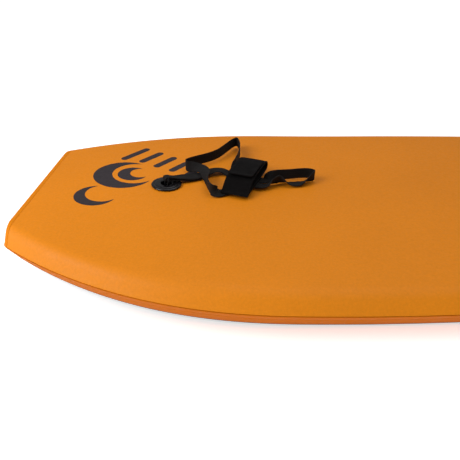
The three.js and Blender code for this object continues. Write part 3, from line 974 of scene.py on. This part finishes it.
def make_tail_strips():
    inner = [lerp(GAP / 2, TAIL_TIP, k / 40) for k in range(41)]
    corner = [side for side in tail_sides(4) if side > TAIL_TIP]
    sides = sorted({round(side, 4) for side in inner + corner})
    for name, turn in (("left", 1), ("right", -1)):
        rings = []
        for side in sides:
            out, back = tail_end(side), tail_end(side, TAIL_STRIP)
            width = half_width(min(out, LENGTH))
            reach = min(side, width - 1.5)
            high = height_on(top_outline(width), reach)
            low = height_on(under_outline(out, width), reach)
            outline = rounded([(back, low), (out, low), (out, high), (back, high)], [0.4, 1.6, 2.6, 0.4])
            rings.append([in_row(station, turn * side, z) for station, z in outline])
        if turn > 0:
            rings.reverse()
        piece = add_object(f"tail_foam_{name}", *skin_rings(rings), "rail", "board")
        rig.replaces(piece, f"tail_strip_{name}")
        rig.slot(piece, "rail_foam")


# ---- the printed mark: nested crescents and slanted bars, drawn in stations and sides ----
def arc_points(centre, radius, start, end, steps):
    angles = [math.radians(lerp(start, end, k / steps)) for k in range(steps + 1)]
    return [(centre[0] + radius * math.cos(a), centre[1] + radius * math.sin(a)) for a in angles]


def crescent(centre, outer, inner, shift, heading):
    """A disc with a smaller one taken out of it, shift away towards heading in degrees."""
    turn = math.radians(heading)
    hole = (centre[0] + shift * math.cos(turn), centre[1] + shift * math.sin(turn))
    on_outer = math.degrees(math.acos((shift**2 + outer**2 - inner**2) / (2 * shift * outer)))
    on_inner = math.degrees(math.acos((outer**2 - shift**2 - inner**2) / (2 * shift * inner)))
    rim = arc_points(centre, outer, heading + on_outer, heading + 360 - on_outer, 40)
    bite = arc_points(hole, inner, heading + 360 - on_inner, heading + on_inner, 34)
    return rim + bite[1:-1]


def bar(start, end, width):
    """A bar with round ends."""
    a, b = Vector(start), Vector(end)
    heading = math.degrees(math.atan2(b.y - a.y, b.x - a.x))
    tip = arc_points(b, width / 2, heading - 90, heading + 90, 8)
    return tip + arc_points(a, width / 2, heading + 90, heading + 270, 8)


def print_piece(name, outline):
    """A film over the deck, split along the board often enough to follow its rise."""
    lift, thick, step = 0.06, 0.05, 12.0
    work = bmesh.new()
    corners = [work.verts.new((x, y, 0)) for x, y in outline]
    for triangle in tessellate_polygon([[corner.co for corner in corners]]):
        work.faces.new([corners[k] for k in triangle])
    station = math.floor(min(x for x, _ in outline) / step) * step
    while station < max(x for x, _ in outline):
        geometry = work.verts[:] + work.edges[:] + work.faces[:]
        cut = {"plane_co": (station, 0, 0), "plane_no": (1, 0, 0)}
        bmesh.ops.bisect_plane(work, geom=geometry, dist=1e-4, **cut)
        station += step
    for vert in work.verts:
        vert.co = over_deck(vert.co.x, vert.co.y, lift)
    raised = bmesh.ops.extrude_face_region(work, geom=work.faces[:])
    for vert in (item for item in raised["geom"] if isinstance(item, bmesh.types.BMVert)):
        vert.co.z += thick * MM
    bmesh.ops.recalc_face_normals(work, faces=work.faces[:])
    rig.ride(from_bmesh(name, work, MATERIALS["print"]), "board")


MARK = {
    "print_moon": crescent((124, 42), 50, 38, 19, 20),
    "print_moon_core": crescent((138, 46), 25, 17, 13, 20),
    "print_moon_small": crescent((96, -36), 32, 27, 13, 40),
    "print_bar_1": bar((112, 108), (144, 154), 13),
    "print_bar_2": bar((146, 100), (172, 137), 13),
    "print_bar_3": bar((174, 82), (199, 118), 13),
    "print_bar_4": bar((203, 67), (224, 97), 13),
    "print_bar_5": bar((232, 52), (248, 75), 13),
}


make_deck()
make_rails()
make_slick()
make_nose_strip()
make_tail_strips()
for name, outline in MARK.items():
    print_piece(name, outline)


# ---- the leash plug ----
def make_plug():
    cup, floor, top = PLUG_CUP_RADIUS, PLUG_CUP_FLOOR, PLUG_TOP
    profile = [
        (0, -21), (7.3, -21), (7.3, -36), (11.6, -36), (12, -35.6), (12, 1.3), (24.1, 1.3),
        (24.45, 1.5), (24.6, 1.9), (24.6, 2.2), (24.4, 2.8), (23.9, 3.4), (23.1, 3.85), (22.2, 4.05),
        (21.2, 4.12), (20.7, 4.02), (20.3, 3.8), (19.6, 3.66), (18.7, 3.66), (18.1, 3.8), (17.7, 4.05),
        (17.2, 4.2), (15, 4.28), (12.5, top), (cup + 1.5, top), (cup + 0.9, 4.2), (cup + 0.45, 3.95),
        (cup + 0.1, 3.45), (cup, 2.8), (cup, floor + 0.8), (cup - 0.25, floor + 0.25),
        (cup - 0.8, floor), (0, floor),
    ]
    plug = lathe("plug_cup", profile)
    carve(plug, pin_bore(), sharp=PLUG_SHARP)
    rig.replaces(plug, "plug_deck_half")
    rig.slot(plug, "plug_plastic")
    low = -THICKNESS - 2 * GAP - 0.7
    base = [
        (0, low - 2.1), (8, low - 2.3), (16, low - 2.5), (18.6, low - 2.5), (19.5, low - 2.2),
        (20, low - 1.5), (20, low), (7, low), (7, -24.5), (6.5, -24), (0, -24),
    ]
    foot = lathe("plug_screw", base)
    carve(foot, coin_slot(low - 1.0), sharp=PLUG_SHARP)
    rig.replaces(foot, "plug_base_half")
    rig.slot(foot, "plug_plastic")


def pin_bore():
    """A cross bore through the cup, with room round the pin."""
    radius, reach = PIN_BORE_RADIUS, 18.0
    round_pin = [(radius * math.cos(a), PIN_HEIGHT + radius * math.sin(a)) for a in angles_round(32)]
    return cutter([[on_plug(x, y, z) for y, z in round_pin] for x in (-reach, reach)])


def coin_slot(height):
    """A slot with round ends, under the plug's base."""
    half_length, radius = 12.0, 1.2
    right = arc_points((half_length, 0), radius, -90, 90, 8)
    left = arc_points((-half_length, 0), radius, 90, 270, 8)
    return cutter([[on_plug(x, y, z) for x, y in right + left] for z in (height - 10, height)])


make_plug()

CARRIED_OVER = {
    "foam_core": "core",
    "stringer": "rod",
    "plug_cross_pin": "steel",
    "plug_deck_gasket": "seal",
    "plug_base_gasket": "seal",
}
for node, material in CARRIED_OVER.items():
    mesh = frame["nodes"][node].data
    mesh.materials.clear()
    mesh.materials.append(MATERIALS[material])


# ---- leash: string and rail saver ----
def make_string():
    """A braided cord loop round the pin, with its bow over the plug; shallow grooves twist along it."""
    half = [(0, -5.7), (5.7, 0), (5.6, 6), (7.6, 12), (9.8, 15.4), (8.4, 17), (4.2, 17)]
    loop = half + [(0, 17)] + [(-v, z) for v, z in reversed(half[1:])]
    samples = closed_path([Vector((0, v, z + PIN_HEIGHT)) for v, z in loop], 14)
    out = Vector((1, 0, 0))
    rings, travelled = [], 0.0
    for i, point in enumerate(samples):
        ahead, behind = samples[(i + 1) % len(samples)], samples[i - 1]
        other = (ahead - behind).normalized().cross(out).normalized()
        travelled += (point - behind).length if i else 0.0
        ring = []
        for angle in angles_round(16):
            bulge = 1 - 0.07 * (1 - abs(math.cos(2 * (angle + travelled / 1.6))))
            offset = out * math.cos(angle) + other * math.sin(angle)
            ring.append(on_plug(*(point + offset * STRING_RADIUS * bulge)))
        rings.append(ring)
    rings.append(rings[0])
    made = add_object("string_loop", *skin_rings(rings, closed_ends=False), "cord", "string")
    join_seams(made)
    face_outward(made)
    smooth(made, 60.0)
    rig.replaces(made, "leash_string")
    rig.slot(made, "leash_cord")
    return made


def make_saver():
    """Doubled webbing from its sewn end, round the string's bow and back."""
    route = [Vector((u, 0, z)) for u, z in SAVER_UNDER + SAVER_BOW + SAVER_OVER]
    samples = [point for point, _ in smooth_path(route, 8)]
    widths = [lerp(SAVER_EYE_WIDTH, SAVER_WIDTH, smoothstep(point.x, 8, 40)) * MM for point in samples]
    points = [on_plug(*point) for point in samples]
    across = PLUG_AXES.to_3x3() @ Vector((0, 1, 0))
    saver = strap("rail_saver_strap", points, [across] * len(points), widths)
    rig.replaces(saver, "rail_saver")
    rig.slot(saver, "webbing")
    return saver


string_loop = make_string()
rail_saver = make_saver()


# ---- the wrist cuff, in its own axes: u along it, v through it, h over the deck ----
CUFF_LOOP = [
    (-57, 6.4), (-48, 6.2), (-34, 7.2), (-10, 8), (20, 8), (42, 8), (52, 9.5), (56.5, 15), (53, 21.5),
    (42, 24.4), (20, 25), (-8, 24.4), (-28, 22.4), (-42, 15), (-50, 9.4),
]


def on_cuff(u, v, h):
    station = CUFF_STATION + u * math.cos(CUFF_TURN) + v * math.sin(CUFF_TURN)
    side = CUFF_SIDE + u * math.sin(CUFF_TURN) - v * math.cos(CUFF_TURN)
    return over_deck(station, side, h)


def ripple(u, v, size):
    """Small folds across the cuff."""
    slow = math.sin(u * 0.23 + 0.7 * math.sin(v * 0.11)) * math.sin(v * 0.17 + 1.3)
    quick = math.sin(u * 0.61 + 0.3 * v + 2.0) * math.sin(v * 0.43 - u * 0.12)
    return size * (0.65 * slow + 0.35 * quick)


def make_cuff():
    """The band: a flattened loop of padded webbing, creased at its bends, with sewn edges."""
    round_edge, groove = 1.1, 18.6
    outer = closed_path([Vector((u, h, 0)) for u, h in CUFF_LOOP], 10)
    out = []
    for before, after in zip(outer[-1:] + outer[:-1], outer[1:] + outer[:1]):
        along = (after - before).normalized()
        out.append(Vector((along.y, -along.x, 0)))
    half = CUFF_WIDTH / 2
    places = [0, 0.15, 0.4, 0.8, 1.3, 2.0, 2.9, 3.5, 3.9, 4.3, 5.0, 6.5, 9, 12, 15, 18.5, 22.5]
    slices = [-half + place for place in places] + [half - place for place in reversed(places[:-1])]
    skins = []
    for inside in (False, True):
        line = list(zip(outer, out))
        if inside:
            line = [pair for pair in line if pair[0].x - pair[1].x * CUFF_WALL > CUFF_INSIDE_START]
        rings = []
        for v in slices:
            inset = fallback(half - abs(v), round_edge)
            inset += 0.28 * math.exp(-((abs(v) - groove) / 0.45) ** 2)
            inset -= 0.22 * smoothstep(groove - abs(v), 0, 6)
            ring = []
            for point, away in line:
                depth = CUFF_WALL - inset if inside else inset - ripple(point.x, v, 0.22)
                place = point - away * depth
                ring.append(on_cuff(place.x, v, place.y))
            rings.append(ring)
        skins.append(rings)
    return cuff_shell(*skins)


def cuff_shell(outer_rings, inner_rings):
    """Joins an outer and an inner skin with ring-shaped ends."""
    vertices, faces = skin_rings(outer_rings, closed_ends=False)
    inner_vertices, inner_faces = skin_rings(inner_rings, closed_ends=False)
    start = len(vertices)
    faces += [tuple(start + i for i in reversed(face)) for face in inner_faces]
    many, few = len(outer_rings[0]), len(inner_rings[0])
    for end in (0, -1):
        outline = [outer_rings[end], inner_rings[end]]
        first_outer = 0 if end == 0 else (len(outer_rings) - 1) * many
        first_inner = start + (0 if end == 0 else (len(inner_rings) - 1) * few)
        ids = [first_outer + k for k in range(many)] + [first_inner + k for k in range(few)]
        for triangle in tessellate_polygon([[flat_on_cuff(point) for point in ring] for ring in outline]):
            faces.append(tuple(ids[k] for k in triangle))
    band = add_object("cuff_padding", vertices + inner_vertices, faces, "cuff", "leash", 50.0)
    face_outward(band)
    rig.replaces(band, "cuff_band")
    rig.slot(band, "cuff_fabric")
    return band


def flat_on_cuff(point):
    """Back from a place in the row frame to the cuff's own u and a height, for filling a flat end."""
    x = point.x / MM + LENGTH / 2 - CUFF_STATION
    y = point.y / MM - CUFF_SIDE
    return Vector((x * math.cos(CUFF_TURN) + y * math.sin(CUFF_TURN), point.z / MM, 0))


def band_top(u):
    return CUFF_TOP - 0.00042 * (u - 18) ** 2


def fold_at(u, v, edge, size):
    """Folds of a layer on the cuff, which fade out towards its edge."""
    return ripple(u, v, size) * smoothstep(edge, 0, 4)


def top_layer(name, ends, width, lift, thickness, corner, material, body, folds=0.0):
    """A layer lying along the top of the cuff, with rounded corners and edges."""
    start, end = ends
    half, soft = width / 2, 0.46 * thickness
    near = [0, 0.06, 0.2, 0.45, 0.8, 1.3, 2.0, 3.0, 4.2, 6, 9, 13, half]
    slices = [-half + d for d in near] + [half - d for d in reversed(near[:-1])]
    shares = sorted({*(k / 44 for k in range(45)), 0.002, 0.005, 0.011, 0.989, 0.995, 0.998})
    rings = []
    for v in slices:
        edge = half - abs(v)
        back = fallback(edge, corner) if edge < corner else 0.0
        lower, upper = [], []
        for share in shares:
            u = lerp(start + back, end - back, share)
            inset = fallback(min(edge, u - start - back, end - back - u), soft)
            lower.append((u, band_top(u) + lift + inset))
            upper.append((u, band_top(u) + lift + thickness - inset + fold_at(u, v, edge, folds)))
        rings.append([on_cuff(u, v, h) for u, h in lower + list(reversed(upper))])
    made = add_object(name, *skin_rings(rings), material, body, 50.0)
    face_outward(made)
    return made


def make_closure():
    """Loop pile on the band, hook tape under the flap, and the flap that closes over them."""
    pile_patch = top_layer("loop_pile_patch", (-24, 24), 38, 0.5, 0.8, 2.5, "loops", "leash")
    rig.replaces(pile_patch, "loop_patch")
    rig.slot(pile_patch, "loop_pile")
    hooks = top_layer("hook_tape_patch", (-23, 8), 36, 1.6, 0.8, 2.0, "hooks", "flap")
    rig.replaces(hooks, "hook_patch")
    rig.slot(hooks, "hook_tape")
    sizes = (42, FLAP_LIFT, FLAP_THICKNESS, 5.0)
    flap = top_layer("cuff_flap_cloth", (-29, 38), *sizes, "cuff", "flap", FLAP_FOLDS)
    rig.replaces(flap, "cuff_flap")
    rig.slot(flap, "cuff_fabric")
    return pile_patch, hooks, flap


# ---- stitches ----
STITCH_LENGTH = 2.6
STITCH_PITCH = 3.4
STITCH_WIDTH = 0.55
STITCH_HEIGHT = 0.28


def stitch(start, end, up):
    """One stitch: a spindle lying on the cloth."""
    along = end - start
    across = along.cross(up).normalized() * STITCH_WIDTH * MM / 2
    rise = up.normalized() * STITCH_HEIGHT * MM
    shares = ((0.0, 0.25), (0.2, 0.85), (0.5, 1.0), (0.8, 0.85), (1.0, 0.25))
    rings = []
    for share, size in shares:
        middle = start + along * share - rise * 0.3
        rings.append([middle + across * size * math.cos(a) + rise * 1.3 * size * math.sin(a)
                      for a in (math.radians(60 * k) for k in range(6))])
    return skin_rings(rings)


def make_stitches(name, rows, body):
    """Rows are lists of (point, up direction) on the cloth's surface."""
    vertices, faces = [], []
    for row in rows:
        for a, b, up in stitch_places(row):
            more, sides = stitch(a, b, up)
            start = len(vertices)
            vertices += more
            faces += [tuple(start + i for i in side) for side in sides]
    made = add_object(name, vertices, faces, "thread", body, 80.0)
    face_outward(made)
    return made


def stitch_places(row):
    """Where stitches start and end along a row, and which way is up there."""
    length, pitch = STITCH_LENGTH * MM, STITCH_PITCH * MM
    reach = [0.0]
    for (a, _), (b, _) in zip(row, row[1:]):
        reach.append(reach[-1] + (b - a).length)

    def at(distance):
        for i in range(len(row) - 1):
            if distance <= reach[i + 1] or i == len(row) - 2:
                share = (distance - reach[i]) / max(reach[i + 1] - reach[i], 1e-9)
                return row[i][0].lerp(row[i + 1][0], share), row[i][1]
        return row[-1]

    count = int(reach[-1] // pitch)
    spare = reach[-1] - count * pitch + (pitch - length)
    for k in range(count):
        begin = spare / 2 + k * pitch
        a, up = at(begin)
        b, _ = at(begin + length)
        yield a, b, up


def flap_stitches():
    """A border round the flap and a box with a cross where it is sewn down."""
    def row(*corners):
        points = []
        for (u0, v0), (u1, v1) in zip(corners, corners[1:]):
            for k in range(9):
                u, v = lerp(u0, u1, k / 8), lerp(v0, v1, k / 8)
                height = band_top(u) + FLAP_LIFT + FLAP_THICKNESS + fold_at(u, v, 21 - abs(v), FLAP_FOLDS)
                points.append((on_cuff(u, v, height), Vector((0, 0, 1))))
        return points

    border = row((20, -18), (-26, -18), (-26, 18), (20, 18))
    box = row((20, -18), (35, -18), (35, 18), (20, 18), (20, -18))
    return [border, box, row((20, -18), (35, 18)), row((20, 18), (35, -18))]


def saver_stitches():
    """Rows across the rail saver's sewn end and along its edges."""
    def height(u):
        for (u0, h0), (u1, h1) in zip(SAVER_OVER, SAVER_OVER[1:]):
            if u <= u1:
                return lerp(h0, h1, (u - u0) / (u1 - u0))

    def place(u, v):
        return on_plug(u, v, height(u) + 0.98), Vector((0, 0, 1))

    edge = [(lerp(24, 60, k / 12), lerp(6, 8.6, min(1, k / 5))) for k in range(13)]
    edges = [[place(u, v * side) for u, v in edge] for side in (-1, 1)]
    across = [[place(u, lerp(-8.5, 8.5, k / 4)) for k in range(5)] for u in (44, 58)]
    return edges + across


cuff_band = make_cuff()
pile_patch, hook_tape, cuff_flap = make_closure()
flap_stitching = make_stitches("flap_stitches", flap_stitches(), "flap")
saver_stitching = make_stitches("saver_stitches", saver_stitches(), "leash")


# ---- floor and light ----
def make_stage():
    """A pale floor that gives off a little light of its own, so that it stays pale far away."""
    work = bmesh.new()
    bmesh.ops.create_grid(work, x_segments=8, y_segments=8, size=14.0)
    made = Shader("floor", (0.93, 0.93, 0.93), 0.9, specular=0.1)
    reach = made.node("ShaderNodeVectorMath", {0: made.place()}, operation="LENGTH")
    away = made.math("MULTIPLY", reach.outputs["Value"], 0.2)
    glow = made.ramp(away, (0.1, 0.58), (0.6, 0.85))
    made.dress({"Emission Color": (1, 1, 1, 1), "Emission Strength": glow})
    floor = from_bmesh("floor", work, made.material)
    floor.location = (0, 0, cad_box[0][2] - 0.0005)
    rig.stage(floor)


def soft_box(name, place, target, size, power):
    data = bpy.data.lights.new(name, "AREA")
    data.shape = "RECTANGLE"
    data.size, data.size_y = size
    data.energy = power
    lamp = bpy.data.objects.new(name, data)
    lamp.location = place
    lamp.rotation_euler = (Vector(target) - Vector(place)).to_track_quat("-Z", "Y").to_euler()
    show(lamp)


def make_light():
    world = bpy.data.worlds.new("studio")
    world.use_nodes = True
    background = world.node_tree.nodes["Background"]
    background.inputs["Color"].default_value = (1, 1, 1, 1)
    background.inputs["Strength"].default_value = 0.28
    bpy.context.scene.world = world
    soft_box("key", (-1.2, -0.45, 0.92), (-0.3, 0, 0.07), (0.8, 0.8), 12.5)
    soft_box("top", (0.35, 0.4, 2.0), (0.0, 0, 0), (2.0, 1.4), 14)


make_stage()
make_light()
bpy.context.scene.view_settings.view_transform = "Standard"

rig.padded(cuff_band, fill=0.5)
cord_length = sum((b - a).length for a, b in zip(webbing_points, webbing_points[1:]))
on_leash = [rail_saver, saver_stitching, string_loop]
on_leash += [cuff_band, pile_patch, hook_tape, cuff_flap, flap_stitching]
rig.cord(leash_strap, exit=webbing_points[0], length=round(cord_length, 3), diameter=WEBBING_WIDTH * MM,
        far_end="fitting", stiffness="limp", lay="loose", path=webbing_points, with_pieces=on_leash)

with open("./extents.json", "w") as file:
    boxes = {"cad": cad_box, "visual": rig.bounds()}
    json.dump({name: [list(corner) for corner in box] for name, box in boxes.items()}, file)
